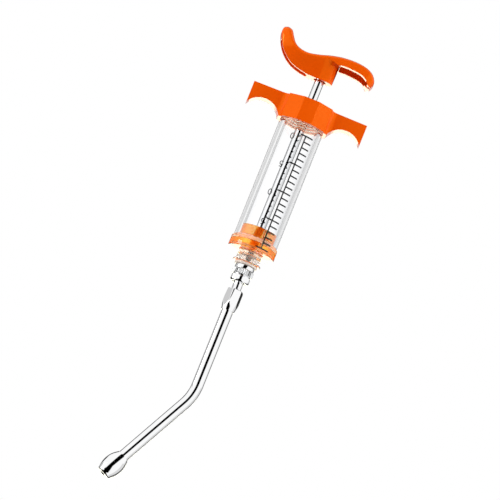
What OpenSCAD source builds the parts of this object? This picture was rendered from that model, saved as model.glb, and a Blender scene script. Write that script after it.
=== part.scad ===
// Livestock drencher: a plunger syringe with finger wings, a palm handle and a bent drench nozzle.
// Lengths are millimetres. The syringe's axis is Z, with the handle at the top and the nozzle below.
// The origin is on the axis, level with the crowns of the two finger arcs, where the fingers hold it.

/* [Barrel] */
// Outside diameter of the measuring tube
barrel_d = 24.5; // [23.5:0.1:25.5]
// Bore of the measuring tube
barrel_bore_d = 19.5; // [18:0.1:20.5]
// Length that shows between the cap and the underside of the foot
barrel_shown_len = 74.9; // [70:0.1:90]
// Thickness of the floor
barrel_floor_t = 2.1; // [1.8:0.1:3]
// Diameter of the foot band
foot_d = 26.1; // [25.6:0.1:28]
// Height of the foot band
foot_h = 6; // [4:0.1:9]
// Width across the flats of the six-sided neck
neck_af = 13; // [12:0.1:14.5]
// Length of the neck below the foot
neck_len = 6.3; // [5:0.1:8]
// Diameter of the thin collar round the neck's end
neck_collar_d = 15.6; // [15.2:0.1:18]
// Thickness of that collar
neck_collar_t = 0.8; // [0.5:0.1:1.5]
// Hole in the floor that the dose leaves by
floor_hole_d = 3; // [2:0.1:4]

/* [Finger grip cap] */
// Height of the cap
cap_h = 13.3; // [12:0.1:16]
// Thickness of the cap's top
cap_top_t = 3.2; // [2.5:0.1:4]
// Width across the flats of the twelve-sided hub
hub_af = 28; // [27.4:0.1:31]
// Distance from the axis to the tip of a wing
wing_reach = 32.6; // [31:0.1:36]
// Height of a wing at its thinnest place, over the finger
wing_web = 6.9; // [6:0.1:8]
// Depth of a wing from front to back, at its tip
wing_depth = 7; // [6:0.1:9]
// Depth of a wing where it meets the hub
wing_root_depth = 8.4; // [7.5:0.1:10]
// Radius of the finger arcs
finger_r = 10.4; // [9.6:0.1:11]
// Distance from the axis to the middle of a finger arc
finger_x = 23.5; // [23:0.1:24.5]
// Radius of the fillets between wings and hub
wing_fillet_r = 4.5; // [3:0.1:5]
// Thickness of the washer under the cap's top
cap_washer_t = 1.2; // [0.8:0.1:2]

/* [Plunger] */
// Diameter of the rod
rod_d = 5.1; // [4.6:0.1:5.6]
// Length of rod that shows between cap and handle when the plunger is home
rod_shown_len = 13.9; // [10:0.1:25]
// Diameter of the thinner end that carries the piston
shank_d = 3; // [2.5:0.1:3.4]
// Length of the piston
piston_len = 11; // [10:0.1:14]
// Thickness of the piston's lower plate
plate_t = 2.8; // [2.6:0.1:3.5]
// Thickness of the piston's seal
seal_t = 2.4; // [1.8:0.1:3]
// Diameter of the plate's spigot that the seal sits on
spigot_d = 8.6; // [8.3:0.1:10]
// Width across the flats of the piston nut
nut_af = 5.5; // [5:0.1:5.8]
// Height of the piston nut
nut_h = 1.7; // [1.4:0.1:1.8]

/* [Handle] */
// Length of the handle from horn to nose
handle_len = 56.5; // [50:0.5:65]
// Height of the handle from the boss's end to the tip of the horn
handle_h = 21.2; // [19:0.1:24]
// Width of the handle across the palm
handle_w = 20; // [18:0.5:24]
// Height of the crowned top of a section
crown_h = 2.6; // [2:0.1:3]
// Height of the upright side below the crown, along the arm
arm_side_h = 3.2; // [2.6:0.1:3.6]
// Reach of the rounding along the horn's outer edge
horn_round = 2.4; // [1:0.1:3]
// Wall of the moulded shell
shell_wall = 1.5; // [1.2:0.1:2]
// Outside diameter of the threaded insert in the boss
insert_d = 7; // [6.6:0.1:7.4]
// Length of the insert
insert_len = 9; // [6:0.1:10]

/* [Connector] */
// Diameter of the stud that screws into the neck
stud_d = 7; // [6:0.1:8]
// Bore that the dose passes through
dose_bore_d = 2.4; // [2:0.1:2.8]
// Diameter of the washer below the neck
neck_washer_d = 12.5; // [11.5:0.1:14]
// Thickness of that washer
neck_washer_t = 1.5; // [1:0.1:2.5]
// Diameter of the shoulder under the washer
shoulder_d = 10.6; // [9.6:0.1:11.4]
// Height of the shoulder
shoulder_h = 2.2; // [1.5:0.1:4]
// Diameter of the journal that the lock collar turns on
journal_d = 6.6; // [6:0.1:7]
// Length of the journal
journal_len = 3.3; // [3:0.1:4]
// Large diameter of the tapered spigot that the nozzle seats on
taper_d = 4.2; // [4:0.05:4.3]
// Length of the tapered spigot
taper_len = 6; // [5:0.1:7]

/* [Lock collar] */
// Diameter over the knurl
knurl_d = 11.7; // [11.2:0.1:13]
// Height of the knurled band
knurl_h = 3.2; // [2.5:0.1:4.5]
// Number of grooves in the knurl
knurl_count = 32; // [24:1:40]
// Depth of a groove
knurl_depth = 0.4; // [0.2:0.05:0.5]
// Width across the flats of the six-sided end
collar_af = 10.4; // [10.2:0.1:11]
// Height of the six-sided end
collar_hex_h = 4.1; // [4:0.1:6]
// Bore of the chamber inside the collar
chamber_d = 8.2; // [8:0.1:8.6]
// Thickness of the web that runs on the journal
collar_web_t = 1.8; // [1.5:0.1:2]

/* [Nozzle] */
// Diameter of the slim neck above the hub
hub_neck_d = 5.2; // [5:0.1:5.6]
// Length of the slim neck that shows below the collar
hub_neck_len = 4.4; // [3:0.1:8]
// Width across the flats of the nozzle's hub
hub_flats = 8.1; // [7.8:0.1:9]
// Height of the nozzle's hub
hub_h = 12.3; // [10:0.1:15]
// Diameter of the lug flange that the collar draws up
lug_d = 7.8; // [7.2:0.1:7.8]
// Outside diameter of the tube
tube_d = 6.4; // [6:0.1:6.8]
// Bore of the tube
tube_bore_d = 4.4; // [3.6:0.1:4.8]
// Distance from the hub's end down to the corner of the bend
tube_upper_len = 50; // [40:0.1:70]
// Distance from the corner of the bend to the bulb
tube_lower_len = 50; // [30:0.1:70]
// Angle of the bend
bend_angle = 27; // [10:1:40]
// Radius of the bend along the tube's middle
bend_r = 27; // [20:0.5:40]
// Length of the bulb at the tip
bulb_len = 14.5; // [12:0.1:18]
// Largest diameter of the bulb
bulb_d = 10.9; // [10:0.1:13]
// Diameter of the bulb where it meets the tube
bulb_start_d = 6.9; // [6.9:0.1:8]
// Distance from the bulb's start to its largest diameter
bulb_peak = 8.2; // [7:0.1:10]
// Diameter of the outlet in the bulb
outlet_d = 4; // [3:0.1:4.4]

/* [Hidden] */
$fn = 96;

// Colours
orange = [0.93, 0.34, 0.03];
chrome = [0.80, 0.81, 0.83];
clear = [0.86, 0.91, 0.95, 0.4];
silicone = [0.93, 0.62, 0.52];
amber = [0.93, 0.83, 0.66];
brass = [0.78, 0.62, 0.30];
steel = [0.62, 0.63, 0.65];

// Overrun of every cut, and the clearances of fits that turn, slide, screw and rest
over = 1;
run_gap = 0.05;
slide_gap = 0.1;
screw_gap = 0.1;
rest_gap = 0.1;
piston_gap = 0.15;
seal_gap = 0.03;
hex_circle_share = 1 / cos(30);

// Levels of the cap and the barrel
cap_top_z = wing_web;
cap_low_z = cap_top_z - cap_h;
cap_roof_z = cap_top_z - cap_top_t;
barrel_top_z = cap_roof_z - cap_washer_t;
foot_z = cap_low_z - barrel_shown_len;
floor_z = foot_z + barrel_floor_t;
neck_low_z = foot_z - neck_len;

// Faces round the cap's hub
hub_faces = 12;
hub_face_angle = 360 / hub_faces;

// Levels and sizes of the piston and the rod
piston_low_z = floor_z + rest_gap;
plate_top_z = piston_low_z + plate_t;
seal_top_z = plate_top_z + seal_t;
piston_top_z = piston_low_z + piston_len;
piston_d = barrel_bore_d - 2 * piston_gap;
spigot_rise = 1;
spigot_top_z = seal_top_z + spigot_rise;
piston_washer_t = 0.5;
piston_washer_d = nut_af * hex_circle_share + 2 * piston_washer_t;
nut_recess_d = piston_washer_d + 2 * rest_gap;
nut_recess_z = piston_low_z + rest_gap + nut_h + piston_washer_t + rest_gap;
nut_low_z = piston_low_z + rest_gap;
piston_washer_z = nut_low_z + nut_h;
rod_foot_z = piston_top_z + rest_gap;
piston_edge = 0.5;

// Levels and sizes of the handle
boss_z = cap_top_z + rod_shown_len;
insert_set = 0.8;
insert_z = boss_z + insert_set;

// Levels and sizes of the connector, the collar and the nozzle
shoulder_top_z = neck_low_z - neck_washer_t;
shoulder_low_z = shoulder_top_z - shoulder_h;
stud_top_z = floor_z - barrel_floor_t / 2 - rest_gap;
journal_low_z = shoulder_low_z - journal_len;
collar_top_z = shoulder_low_z - rest_gap;
web_low_z = collar_top_z - collar_web_t;
knurl_low_z = collar_top_z - knurl_h;
collar_low_z = knurl_low_z - collar_hex_h;
clip_t = 0.7;
clip_seat = 0.4;
clip_d = chamber_d - 4 * screw_gap;
clip_bore_d = journal_d - 2 * clip_seat;
clip_top_z = web_low_z - rest_gap;
clip_mouth_share = 0.5;
luer_seal_t = 0.5;
luer_seal_d = journal_d - 2 * screw_gap;
taper_share = 0.06;
taper_tip_d = taper_d - taper_share * taper_len;
lug_top_z = journal_low_z - luer_seal_t - rest_gap;
lug_t = 1.5;
hub_top_z = collar_low_z - hub_neck_len;
hub_low_z = hub_top_z - hub_h;
bend_z = hub_low_z - tube_upper_len;
bend_tangent = bend_r * tan(bend_angle / 2);
tube_set = hub_h / 2;
// Bending draws the wall thinner, and the bend runs a little way into the straight legs
bend_draw = 0.02;
bend_lap_angle = 0.2;
bulb_set = bulb_len / 2;
edge = 0.4;

// A hub's six flats end in arcs where a cone turns its corners down, and turning takes off each corner
hub_cone_share = 0.42;
hub_turn = 14;
corner_cut = 0.1;
collar_corner_cut = 0.35;

// Rows along the handle from the horn's tip to the end of the boss, as shares of the handle's length,
// height and half width: top x, top z, low x, low z, half width at the top, half width at the low edge,
// how far the arm's rim stands out over the boss and how far the low edge is rounded (0 to 1)
body_shares = [
    [-0.453, 0.995, -0.475, 0.995, 0.22, 0.16, 0, 1],
    [-0.414, 0.935, -0.505, 0.935, 0.52, 0.36, 0, 1],
    [-0.384, 0.806, -0.510, 0.790, 0.66, 0.46, 0, 0.9],
    [-0.338, 0.640, -0.478, 0.569, 0.78, 0.49, 0, 0.35],
    [-0.276, 0.552, -0.414, 0.334, 0.87, 0.49, 0, 0],
    [-0.195, 0.530, -0.312, 0.126, 0.93, 0.48, 0, 0],
    [-0.097, 0.586, -0.168, 0.019, 0.96, 0.475, 0, 0],
    [0.000, 0.669, -0.018, 0.000, 0.98, 0.475, 0.1, 0],
    [0.064, 0.711, 0.064, 0.000, 0.99, 0.45, 0.6, 0],
    [0.104, 0.732, 0.104, 0.000, 1.00, 0.32, 0.95, 0],
    [0.121, 0.739, 0.121, 0.000, 1.00, 0.14, 1, 0]];
// Rows along the arm from the end of the boss to the nose
arm_shares = [
    [0.126, 0.741, 0.126, 0.465, 1.00, 0.40, 1, 0],
    [0.216, 0.759, 0.204, 0.479, 1.00, 0.40, 1, 0],
    [0.310, 0.748, 0.287, 0.450, 1.00, 0.40, 1, 0],
    [0.387, 0.705, 0.353, 0.375, 0.98, 0.40, 1, 0],
    [0.448, 0.615, 0.404, 0.300, 0.92, 0.37, 1, 0],
    [0.483, 0.490, 0.440, 0.262, 0.79, 0.32, 1, 0],
    [0.489, 0.385, 0.461, 0.262, 0.58, 0.24, 1, 0],
    [0.479, 0.315, 0.470, 0.283, 0.32, 0.14, 1, 0]];
// Stretch of each table that is hollow, counted in rows
body_hollow_rows = [2.7, 6.2];
arm_hollow_rows = [0.1, 5.1];
// Steps between rows, points round half a crown and how square the crown is
row_steps = 4;
crown_steps = 6;
crown_square_share = 0.7;
crown_limit_share = 0.45;
rim_least_share = 0.06;
low_limit_share = 0.6;
low_round = 0.3;
low_steps = 3;
neck_share = 0.7;
roof_share = 0.62;

// Value at a place between rows, on a curve that passes through every row
function row_at(rows, s) =
    let (i = min(floor(s), len(rows) - 2), f = s - i)
    let (a = rows[max(i - 1, 0)], b = rows[i], c = rows[i + 1], d = rows[min(i + 2, len(rows) - 1)])
    b + (c - a) * f / 2 + (2 * a - 5 * b + 4 * c - d) * f * f / 2 + (3 * b - a - 3 * c + d) * f * f * f / 2;

// A row's rib: low point, direction to the top point, height, half widths, rim and rounding
function rib(row) =
    let (top = [row[0] * handle_len, boss_z + row[1] * handle_h])
    let (low = [row[2] * handle_len, boss_z + row[3] * handle_h])
    let (h = norm(top - low))
    [low, (top - low) / h, h, row[4] * handle_w / 2, row[5] * handle_w / 2, row[6], row[7]];

// Points of half a section, from the low edge up to the crown, as half width and height on the rib
function half_section(r) =
    let (h = r[2], top_w = r[3], low_w = r[4], rim = r[5])
    let (crown = min(crown_h, crown_limit_share * h))
    let (rim_h = max(h - crown - max(rim * arm_side_h, edge), rim_least_share * h))
    let (neck_h = rim_h * (neck_share + (1 - neck_share) * rim))
    let (plain_w = low_w + (top_w - low_w) * neck_share)
    let (neck_w = plain_w + (low_w + edge - plain_w) * rim)
    let (corner = [low_w, 0], side = [neck_w, neck_h] - corner)
    let (reach = min(low_round + horn_round * r[6], low_limit_share * low_w, crown_limit_share * norm(side)))
    let (start = corner - [reach, 0], end = corner + side * reach / norm(side))
    concat([for (k = [0 : low_steps])
               let (t = k / low_steps)
               start * (1 - t) * (1 - t) + corner * 2 * t * (1 - t) + end * t * t],
           [[neck_w, neck_h], [top_w, rim_h]],
           [for (k = [0 : crown_steps])
               let (a = 90 * k / crown_steps)
               [top_w * pow(cos(a), crown_square_share),
                h - crown + crown * pow(sin(a), crown_square_share)]]);

// Points of half a hollow section, a wall inside the solid one and open below it
function half_hollow(r) =
    let (h = r[2], rim = r[5])
    let (low_w = (rim < 1 ? r[4] : r[3]) - shell_wall)
    let (roof_h = h - (crown_h + shell_wall) * roof_share - edge)
    let (roof_w = r[3] - 2 * shell_wall)
    [[low_w, -over], [(low_w + roof_w) / 2, roof_h * neck_share], [roof_w * neck_share, roof_h]];

// A half section set on its rib and mirrored, as points in space
function placed(r, half) =
    let (n = len(half))
    let (all = concat(half, [for (k = [n - 1 : -1 : 0]) if (half[k][0] > 0) [-half[k][0], half[k][1]]]))
    [for (p = all) [r[0][0] + r[1][0] * p[1], p[0], r[0][1] + r[1][1] * p[1]]];

// Solid through a row of sections that have the same number of points
module loft(sections) {
    n = len(sections[0]);
    m = len(sections);
    points = [for (section = sections) each section];
    sides = [for (i = [0 : m - 2], k = [0 : n - 1])
        let (a = i * n + k, b = i * n + (k + 1) % n)
        each [[a, a + n, b], [b, a + n, b + n]]];
    first = [for (k = [0 : n - 1]) k];
    last = [for (k = [n - 1 : -1 : 0]) (m - 1) * n + k];
    polyhedron(points, concat(sides, [first, last]));
}

// Ring between two levels
module ring(outer_d, inner_d, low_z, high_z) {
    difference() {
        translate([0, 0, low_z])
            cylinder(d = outer_d, h = high_z - low_z);
        translate([0, 0, low_z - over])
            cylinder(d = inner_d, h = high_z - low_z + 2 * over);
    }
}

// Upright hole between two levels
module hole(d, low_z, high_z) {
    translate([0, 0, low_z])
        cylinder(d = d, h = high_z - low_z);
}

// Six-sided prism between two levels, by its width across the flats
module hex(af, low_z, high_z) {
    translate([0, 0, low_z])
        cylinder(d = af * hex_circle_share, h = high_z - low_z, $fn = 6);
}

// Palm handle: an S-shaped moulded shell with a horn, a solid boss for the rod and a hooked arm
module push_handle() {
    body = [for (s = [0 : 1 / row_steps : len(body_shares) - 1]) rib(row_at(body_shares, s))];
    arm = [for (s = [0 : 1 / row_steps : len(arm_shares) - 1]) rib(row_at(arm_shares, s))];
    color(orange)
    difference() {
        loft([for (r = concat(body, arm)) placed(r, half_section(r))]);
        hollow(body_shares, body_hollow_rows);
        hollow(arm_shares, arm_hollow_rows);
        hole(insert_d, boss_z - over, insert_z + insert_len);
    }
}

// Hollow under a stretch of the handle
module hollow(rows, stretch) {
    ribs = [for (s = [stretch[0] : 1 / row_steps : stretch[1]]) rib(row_at(rows, s))];
    loft([for (r = ribs) placed(r, half_hollow(r))]);
}

// Brass insert that the rod is screwed into
module handle_insert() {
    color(brass)
        ring(insert_d, rod_d, insert_z, insert_z + insert_len);
}

// Rod with a thinner lower end for the piston
module plunger_rod() {
    color(chrome) {
        hole(rod_d, rod_foot_z, insert_z + insert_len);
        hole(shank_d, nut_low_z, rod_foot_z);
    }
}

// Outline of a wing seen from the front, with its finger arc
module wing_front() {
    difference() {
        translate([0, cap_low_z])
            square([wing_reach, cap_h]);
        translate([finger_x, -finger_r])
            circle(r = finger_r);
        translate([finger_x, cap_low_z - over])
            square([wing_reach, -finger_r - cap_low_z + over]);
    }
}

// Outline of a wing seen from above, with fillets into the hub's slanted faces
module wing_plan() {
    root_y = wing_root_depth / 2;
    fillet_y = root_y + wing_fillet_r;
    fillet_x = (hub_af / 2 + wing_fillet_r - fillet_y * sin(hub_face_angle)) / cos(hub_face_angle);
    touch = [fillet_x, fillet_y] - wing_fillet_r * [cos(hub_face_angle), sin(hub_face_angle)];
    for (side = [0, 1])
        mirror([0, side])
            difference() {
                polygon([[0, 0], [wing_reach, 0], [wing_reach, wing_depth / 2], [fillet_x, root_y],
                         touch, [0, touch[1]]]);
                translate([fillet_x, fillet_y])
                    circle(r = wing_fillet_r);
            }
}

// Screw cap with a faceted hub and two finger wings
module finger_grip_cap() {
    hub_corner_d = hub_af / cos(hub_face_angle / 2);
    color(orange)
    difference() {
        union() {
            intersection() {
                translate([0, 0, cap_low_z])
                    rotate([0, 0, hub_face_angle / 2])
                        cylinder(d = hub_corner_d, h = cap_h, $fn = hub_faces);
                hole(hub_af + edge, cap_low_z - over, cap_top_z + over);
            }
            for (side = [0, 1])
                mirror([side, 0, 0])
                    intersection() {
                        rotate([90, 0, 0])
                            linear_extrude(hub_af, center = true)
                                wing_front();
                        translate([0, 0, cap_low_z - over])
                            linear_extrude(cap_h + 2 * over)
                                wing_plan();
                    }
        }
        hole(barrel_d + 2 * screw_gap, cap_low_z - over, cap_roof_z);
        hole(rod_d + 2 * slide_gap, cap_roof_z - over, cap_top_z + over);
    }
}

// Washer between the cap's top and the barrel's mouth
module cap_washer() {
    color(silicone)
        ring(barrel_d - 2 * screw_gap, (barrel_bore_d + rod_d) / 2, barrel_top_z, cap_roof_z);
}

// Clear measuring barrel with its foot, floor and six-sided neck
module barrel() {
    color(clear)
    difference() {
        union() {
            hole(barrel_d, foot_z, barrel_top_z);
            hole(foot_d, foot_z, foot_z + foot_h);
            rotate([0, 0, 30])
                hex(neck_af, neck_low_z, foot_z);
            hole(neck_collar_d, neck_low_z, neck_low_z + neck_collar_t);
        }
        hole(barrel_bore_d, floor_z, barrel_top_z + over);
        hole(stud_d, neck_low_z - over, stud_top_z + rest_gap);
        hole(floor_hole_d, neck_low_z, floor_z + over);
    }
}

// Upper half of the piston
module piston_head() {
    color(orange)
    difference() {
        union() {
            hole(piston_d, seal_top_z, piston_top_z - piston_edge);
            translate([0, 0, piston_top_z - piston_edge])
                cylinder(d1 = piston_d, d2 = piston_d - 2 * piston_edge, h = piston_edge);
        }
        hole(spigot_d + 2 * screw_gap, seal_top_z - over, spigot_top_z + rest_gap);
        hole(shank_d + 2 * run_gap, seal_top_z, piston_top_z + over);
    }
}

// Soft ring with a lip at each edge, which wipes the barrel
module piston_seal() {
    lip_h = seal_t / 4;
    seal_r = barrel_bore_d / 2 - seal_gap;
    color(silicone)
    rotate_extrude()
        polygon([[spigot_d / 2 + screw_gap, plate_top_z], [seal_r, plate_top_z],
                 [seal_r, plate_top_z + lip_h], [seal_r - piston_gap, seal_top_z - 2 * lip_h],
                 [seal_r, seal_top_z - lip_h], [seal_r, seal_top_z],
                 [spigot_d / 2 + screw_gap, seal_top_z]]);
}

// Lower half of the piston, with the spigot for the seal and a recess for the nut
module piston_plate() {
    color(orange)
    difference() {
        union() {
            hole(piston_d, piston_low_z, plate_top_z);
            hole(spigot_d, piston_low_z, spigot_top_z);
        }
        hole(nut_recess_d, piston_low_z - over, nut_recess_z);
        hole(shank_d + 2 * run_gap, piston_low_z, spigot_top_z + over);
    }
}

// Washer between nut and plate
module piston_washer() {
    color(steel)
        ring(piston_washer_d, shank_d, piston_washer_z, piston_washer_z + piston_washer_t);
}

// Nut on the rod's thinner end
module piston_nut() {
    color(steel)
    difference() {
        hex(nut_af, nut_low_z, nut_low_z + nut_h);
        hole(shank_d, nut_low_z - over, nut_low_z + nut_h + over);
    }
}

// Washer between the barrel's neck and the connector
module neck_washer() {
    color(amber)
        ring(neck_washer_d, stud_d, shoulder_top_z, neck_low_z);
}

// Connector: stud, shoulder, journal with a groove for the clip, and the tapered spigot
module nozzle_connector() {
    color(chrome)
    difference() {
        union() {
            hole(stud_d - 2 * screw_gap, shoulder_top_z, stud_top_z);
            hole(shoulder_d, shoulder_low_z, shoulder_top_z);
            hole(journal_d, journal_low_z, shoulder_low_z);
            translate([0, 0, journal_low_z - taper_len])
                cylinder(d1 = taper_tip_d, d2 = taper_d, h = taper_len);
        }
        ring(journal_d + over, clip_bore_d, clip_top_z - clip_t, clip_top_z);
        hole(dose_bore_d, journal_low_z - taper_len - over, stud_top_z + over);
    }
}

// Spring clip that keeps the collar on the connector, open at one side
module collar_clip() {
    color(steel)
    difference() {
        ring(clip_d, clip_bore_d, clip_top_z - clip_t, clip_top_z);
        translate([0, -clip_bore_d * clip_mouth_share / 2, clip_top_z - clip_t - over])
            cube([clip_d, clip_bore_d * clip_mouth_share, clip_t + 2 * over]);
    }
}

// Soft ring round the tapered spigot
module luer_seal() {
    color(silicone)
        ring(luer_seal_d, taper_d, journal_low_z - luer_seal_t, journal_low_z);
}

// Outline of the knurled band
module knurl_outline() {
    step = 360 / knurl_count;
    polygon([for (k = [0 : knurl_count - 1], half = [0, 1])
        let (r = knurl_d / 2 - half * knurl_depth, a = (k + half / 2) * step)
        [r * cos(a), r * sin(a)]]);
}

// Turning collar: knurled above, six-sided below, with a chamber for the nozzle's lugs
module lock_collar() {
    collar_corner_d = collar_af * hex_circle_share - 2 * collar_corner_cut;
    color(chrome)
    difference() {
        union() {
            intersection() {
                translate([0, 0, knurl_low_z])
                    linear_extrude(knurl_h)
                        knurl_outline();
                barrelled(knurl_d, knurl_low_z, collar_top_z, edge, edge);
            }
            intersection() {
                rotate([0, 0, 30])
                    hex(collar_af, collar_low_z, knurl_low_z);
                barrelled(collar_corner_d, collar_low_z, knurl_low_z, edge, edge);
            }
        }
        hole(journal_d + 2 * run_gap, web_low_z - over, collar_top_z + over);
        hole(chamber_d, collar_low_z - over, web_low_z);
    }
}

// Turned blank with a cone at each end, which chamfers what it is intersected with
module barrelled(d, low_z, high_z, low_cone, high_cone) {
    rotate_extrude()
        polygon([[0, low_z], [d / 2 - edge, low_z], [d / 2, low_z + low_cone],
                 [d / 2, high_z - high_cone], [d / 2 - edge, high_z], [0, high_z]]);
}

// Nozzle hub: lug flange and slim neck above, six flats that fade into a cone below
module nozzle_hub() {
    hub_cone_h = hub_h * hub_cone_share;
    hub_corner_r = hub_flats * hex_circle_share / 2 - corner_cut;
    hub_end_r = tube_d / 2 + edge;
    color(chrome)
    difference() {
        union() {
            hole(lug_d, lug_top_z - lug_t, lug_top_z);
            hole(hub_neck_d, hub_top_z - edge, lug_top_z);
            intersection() {
                rotate([0, 0, hub_turn])
                    hex(hub_flats, hub_low_z, hub_top_z);
                rotate_extrude()
                    polygon([[0, hub_low_z], [hub_end_r, hub_low_z],
                             [hub_corner_r, hub_low_z + hub_cone_h], [hub_corner_r, hub_top_z - edge],
                             [hub_corner_r - 2 * edge, hub_top_z], [0, hub_top_z]]);
            }
        }
        translate([0, 0, journal_low_z - taper_len - rest_gap])
            cylinder(d1 = taper_tip_d + 2 * run_gap, d2 = taper_d + 2 * run_gap, h = taper_len + rest_gap);
        hole(dose_bore_d, hub_low_z, hub_top_z + hub_neck_len);
        hole(tube_d, hub_low_z - over, hub_low_z + tube_set);
    }
}

// Cross-section of the tube, with both faces of its wall drawn in
module tube_outline(drawn = 0) {
    difference() {
        circle(d = tube_d - 2 * drawn);
        circle(d = tube_bore_d + 2 * drawn);
    }
}

// Frame of the lower leg: its start is the corner of the bend and it runs down
module lower_leg() {
    translate([0, 0, bend_z])
        rotate([0, bend_angle, 0])
            children();
}

// Bent tube from the hub to the bulb
module nozzle_tube() {
    color(chrome) {
        translate([0, 0, bend_z + bend_tangent])
            linear_extrude(hub_low_z + tube_set - bend_z - bend_tangent)
                tube_outline();
        translate([-bend_r, 0, bend_z + bend_tangent])
            rotate([-90, 0, 0])
                rotate([0, 0, -bend_lap_angle])
                    rotate_extrude(angle = bend_angle + 2 * bend_lap_angle)
                        translate([bend_r, 0])
                            tube_outline(bend_draw);
        lower_leg()
            translate([0, 0, -tube_lower_len - bulb_set])
                linear_extrude(tube_lower_len + bulb_set - bend_tangent)
                    tube_outline();
    }
}

// Olive-shaped tip with the outlet
module nozzle_bulb() {
    rise = (bulb_d - bulb_start_d) / 2;
    arc_r = (bulb_peak * bulb_peak + rise * rise) / (2 * rise);
    color(chrome)
    lower_leg()
        translate([0, 0, -tube_lower_len - bulb_len])
            difference() {
                rotate_extrude()
                    intersection() {
                        translate([bulb_d / 2 - arc_r, bulb_len - bulb_peak])
                            circle(r = arc_r);
                        square([bulb_d, bulb_len]);
                    }
                hole(outlet_d, -over, bulb_len + over);
                hole(tube_d, bulb_len - bulb_set, bulb_len + over);
                translate([0, 0, -over])
                    cylinder(d1 = outlet_d + 2 * (edge + over), d2 = outlet_d, h = edge + over);
            }
}

push_handle();
handle_insert();
plunger_rod();
finger_grip_cap();
cap_washer();
barrel();
piston_head();
piston_seal();
piston_plate();
piston_washer();
piston_nut();
neck_washer();
nozzle_connector();
collar_clip();
luer_seal();
lock_collar();
nozzle_hub();
nozzle_tube();
nozzle_bulb();
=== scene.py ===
from math import atan2, ceil, cos, floor, hypot, pi, radians, sin, tan

import bmesh
import bpy
from mathutils import Matrix, Vector


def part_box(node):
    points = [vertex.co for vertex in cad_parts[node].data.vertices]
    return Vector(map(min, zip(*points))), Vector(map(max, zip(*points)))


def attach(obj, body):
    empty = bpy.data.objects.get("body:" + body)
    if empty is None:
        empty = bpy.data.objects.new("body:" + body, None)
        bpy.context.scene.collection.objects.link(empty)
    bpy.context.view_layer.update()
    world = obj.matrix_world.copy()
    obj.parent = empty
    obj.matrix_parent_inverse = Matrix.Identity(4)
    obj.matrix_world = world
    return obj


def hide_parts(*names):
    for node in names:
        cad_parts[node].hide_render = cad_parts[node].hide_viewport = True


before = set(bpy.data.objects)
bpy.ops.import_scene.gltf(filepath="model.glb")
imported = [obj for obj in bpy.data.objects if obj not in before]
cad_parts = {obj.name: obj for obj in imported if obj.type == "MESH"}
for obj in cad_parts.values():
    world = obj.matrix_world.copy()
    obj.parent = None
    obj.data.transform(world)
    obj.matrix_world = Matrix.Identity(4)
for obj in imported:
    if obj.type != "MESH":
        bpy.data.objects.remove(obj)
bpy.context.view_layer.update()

# Lengths are millimetres in the part's own frame, and MM turns them into metres
MM = 0.001


def span(node, axis):
    """Lowest and highest value of a CAD node along an axis."""
    lowest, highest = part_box(node)
    return lowest[axis] / MM, highest[axis] / MM


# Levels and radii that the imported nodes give
neck_low, barrel_top = span("barrel", 2)
foot_r = span("barrel", 0)[1]
cap_low, cap_top = span("finger_grip_cap", 2)
rod_low, rod_top = span("plunger_rod", 2)
rod_r = span("plunger_rod", 0)[1]
piston_low, spigot_top = span("piston_plate", 2)
plate_top, seal_top = span("piston_seal", 2)
piston_top = span("piston_head", 2)[1]
piston_r = span("piston_head", 0)[1]
washer_low, washer_top = span("neck_washer", 2)
washer_r = span("neck_washer", 0)[1]
connector_low, stud_top = span("nozzle_connector", 2)
shoulder_r = span("nozzle_connector", 0)[1]
collar_low, collar_top = span("lock_collar", 2)
knurl_r = span("lock_collar", 1)[1]
hub_low, lug_top = span("nozzle_hub", 2)
boss_low = span("push_handle", 2)[0]

# Sides of turned pieces, and how far a cutting shape runs past what it cuts
barrel_sides = 180
piston_sides = 128
fitting_sides = 96
tube_sides = 72
hole_sides = 64
cut_over = 1.0

# Barrel
barrel_r = 12.25
bore_r = 9.75
seal_press = 0.02
barrel_shown_len = 74.9
foot_h = 6.0
floor_t = 2.1
floor_hole_r = 1.5
neck_af = 13.0
neck_collar_r = 7.8
neck_collar_t = 0.8
stud_hole_r = 3.5
rest_gap = 0.1
thread_pitch = 1.35
thread_depth = 0.45
thread_low_gap = 0.9
# Period of the painted bands inside the cap, and how far below the cap they start
painted_band_period = 1.5
painted_band_gap = 0.2
mouth_round = 0.35
foot_round = 0.5
neck_round = 0.2
neck_step = 0.1
neck_drop = 0.15
neck_flare = 2.2
underside_gap = 0.05
neck_corner_r = 0.572 * neck_af
neck_corner_blend = 60
foot_low = cap_low - barrel_shown_len
floor_top = foot_low + floor_t

# Cap: half width of the front face, where the slanted face beside it ends, and the angle of a sharp edge
facet_half = 4.2
facet_end = (12.4, 8.6)
cap_crease = 24

# Plunger
shank_r = 1.5
rod_foot = piston_top + rest_gap
spigot_r = 4.3
nut_recess_r = 3.775
nut_recess_top = piston_low + 2.4
shank_hole_r = 1.55
rod_end_r = 0.3
rod_round = 0.3
head_round = 0.5
seal_round = 0.25
plate_round = 0.4
seal_r = bore_r + seal_press

# Handle
handle_len = 56.5
handle_h = 21.2
handle_w = 20.0
crown_h = 2.6
arm_side_h = 3.2
shell_wall = 1.5
arm_rim = 3.2
horn_round = 2.4
low_round = 0.3
insert_r = 3.5
insert_top = rod_top
edge = 0.4
edge_segments = 3
edge_limit = 38

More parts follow.
